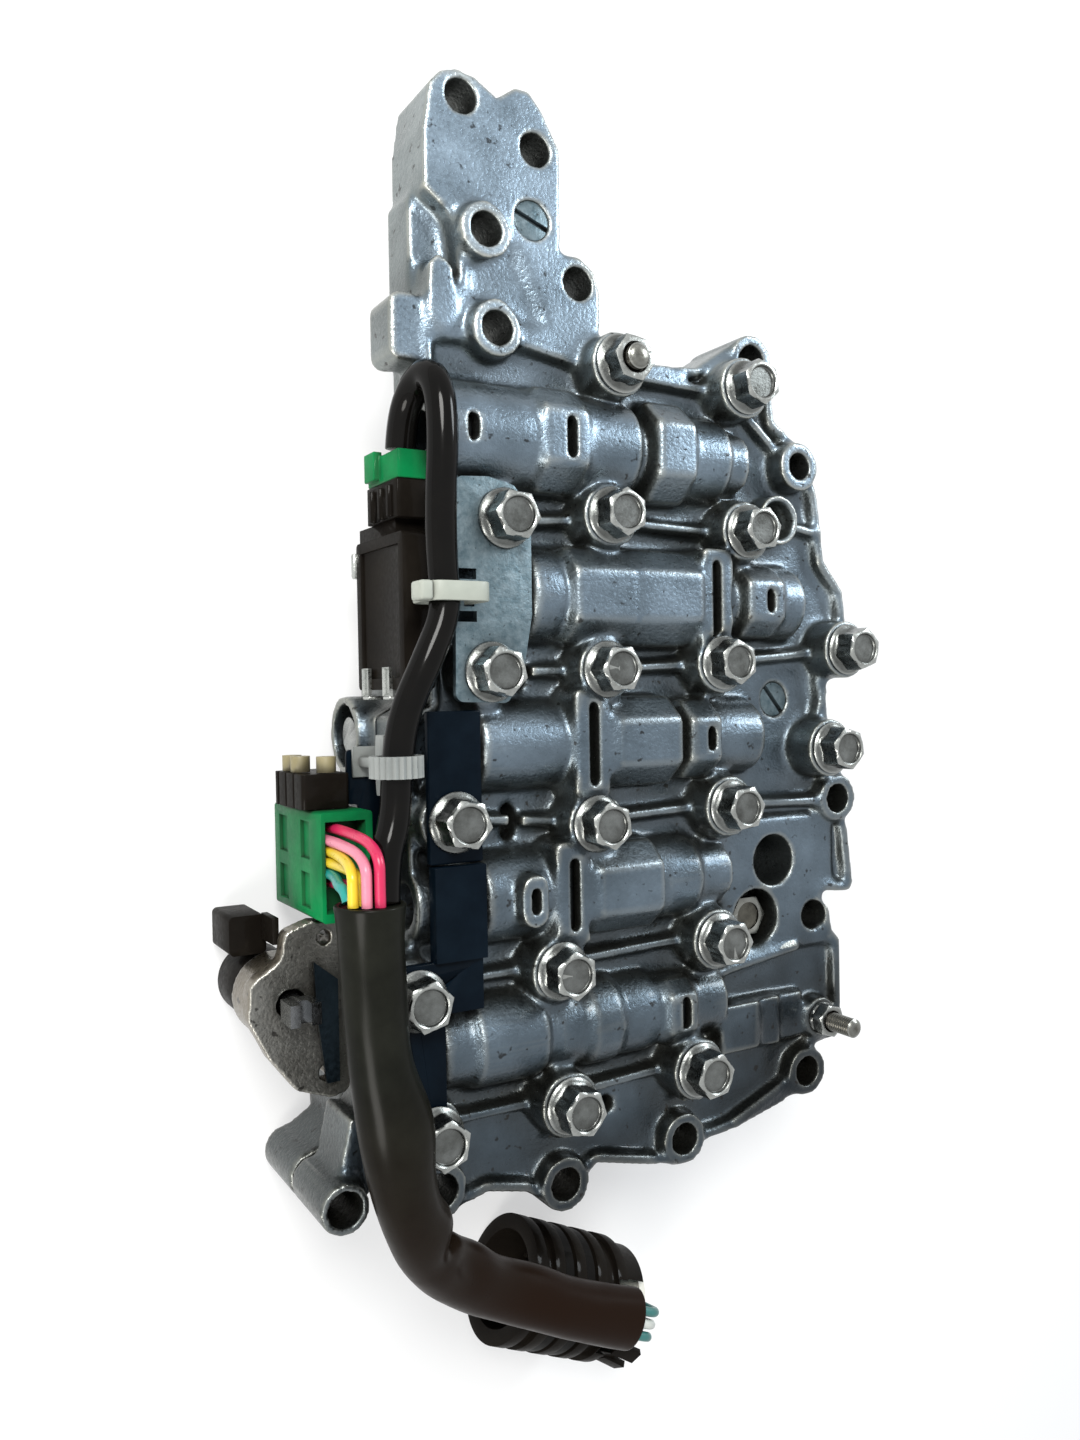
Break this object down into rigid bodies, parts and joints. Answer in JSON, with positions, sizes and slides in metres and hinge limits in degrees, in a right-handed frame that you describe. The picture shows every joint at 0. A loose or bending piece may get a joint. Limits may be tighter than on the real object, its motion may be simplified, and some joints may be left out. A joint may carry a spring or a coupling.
{
  "type": "transmission mechatronic unit",
  "caption": "Hydraulic valve body of two cast halves with bolted spool valve bores, step motor and a wiring harness ending in a round connector.",
  "frame": {"origin": "middle of the resting box at the mounting face, measured without the wiring", "axes": "+Z out of the bolt face, +Y towards the horn with its case holes, +X to the right when looking at the bolt face"},
  "size_m": [0.1689, 0.323, 0.0663],
  "materials": {
    "cast_aluminium": "oily as-cast skin with machined rims",
    "steel_plate": "rolled sheet",
    "zinc_steel": "zinc plated, oily",
    "plug_metal": "machined",
    "ground_steel": "ground",
    "spool_metal": "hard anodised",
    "spring_steel": "oiled spring wire",
    "black_steel": "blackened sheet, oily",
    "grey_plastic": "moulded nylon",
    "black_plastic": "moulded, oily",
    "green_plastic": "moulded",
    "tan_plastic": "moulded",
    "conduit_black": "soft vinyl, oily",
    "seal_rubber": "smooth",
    "white_plastic": "moulded",
    "crimson_wire": "wire insulation",
    "yellow_wire": "wire insulation",
    "pink_wire": "wire insulation",
    "teal_wire": "wire insulation",
    "light_wire": "wire insulation",
    "dark_wire": "wire insulation"
  },
  "bodies": {
    "valve_body": {"body_bolts": "zinc_steel", "body_stud": "zinc_steel", "bore_plug_1": "plug_metal", "bore_plug_2": "plug_metal", "bore_plug_3": "plug_metal", "bore_plug_4": "plug_metal", "bore_plug_5": "plug_metal", "cable_tie": "grey_plastic", "case_connector": "black_plastic", "case_seals": "seal_rubber", "check_balls": "ground_steel", "conduit_clip": "grey_plastic", "connector_lock": "green_plastic", "connector_sheet": "steel_plate", "electronics_box": "black_plastic", "flange_nut": "zinc_steel", "front_casting": "cast_aluminium", "green_connector": "green_plastic", "harness_bracket": "zinc_steel", "lower_cover": "black_steel", "module_clips": "zinc_steel", "module_connector": "black_plastic", "motor_bracket": "cast_aluminium", "motor_clip": "zinc_steel", "motor_connector": "black_plastic", "passage_plugs": "plug_metal", "pressure_solenoid": "ground_steel", "ratio_sheet": "steel_plate", "rear_casting": "cast_aluminium", "retainer_keys": "ground_steel", "separator_plate": "steel_plate", "small_nut": "zinc_steel", "small_stud": "zinc_steel", "spring_1": "spring_steel", "spring_2": "spring_steel", "spring_3": "spring_steel", "spring_4": "spring_steel", "spring_5": "spring_steel", "stepper_motor": "black_plastic", "sunk_bolt": "zinc_steel", "tail_wires_dark": "dark_wire", "tail_wires_light": "light_wire", "terminal_block": "black_plastic", "terminal_caps": "tan_plastic", "thick_conduit": "conduit_black", "thin_conduit": "conduit_black", "upper_cover": "black_steel", "wire_pink": "pink_wire", "wire_retainer": "white_plastic", "wire_teal": "teal_wire", "wires_crimson": "crimson_wire", "wires_yellow": "yellow_wire"},
    "spool_1_body": {"spool_1": "spool_metal"},
    "spool_2_body": {"spool_2": "spool_metal"},
    "spool_3_body": {"spool_3": "spool_metal"},
    "spool_4_body": {"spool_4": "spool_metal"},
    "spool_5_body": {"spool_5": "spool_metal"},
    "manual_valve_body": {"manual_valve": "ground_steel"},
    "motor_rod_body": {"motor_rod": "ground_steel"}
  },
  "joints": [
    {"name": "spool_1_slide", "type": "slide", "parent": "valve_body", "child": "spool_1_body", "axis": [-1, 0, 0], "range_m": [0, 0.005], "stiffness_N_per_m": 600, "springref_m": -0.004, "deforming": ["spring_1"]},
    {"name": "spool_2_slide", "type": "slide", "parent": "valve_body", "child": "spool_2_body", "axis": [1, 0, 0], "range_m": [0, 0.005], "stiffness_N_per_m": 600, "springref_m": -0.004, "deforming": ["spring_2"]},
    {"name": "spool_3_slide", "type": "slide", "parent": "valve_body", "child": "spool_3_body", "axis": [1, 0, 0], "range_m": [0, 0.005], "stiffness_N_per_m": 600, "springref_m": -0.004, "deforming": ["spring_3"]},
    {"name": "spool_4_slide", "type": "slide", "parent": "valve_body", "child": "spool_4_body", "axis": [-1, 0, 0], "range_m": [0, 0.005], "stiffness_N_per_m": 600, "springref_m": -0.004, "deforming": ["spring_4"]},
    {"name": "spool_5_slide", "type": "slide", "parent": "valve_body", "child": "spool_5_body", "axis": [1, 0, 0], "range_m": [0, 0.005], "stiffness_N_per_m": 600, "springref_m": -0.004, "deforming": ["spring_5"]},
    {"name": "manual_valve_slide", "type": "slide", "parent": "valve_body", "child": "manual_valve_body", "axis": [-1, 0, 0], "range_m": [0, 0.006]},
    {"name": "motor_rod_slide", "type": "slide", "parent": "valve_body", "child": "motor_rod_body", "axis": [0, 0, 1], "range_m": [0, 0.006]}
  ]
}
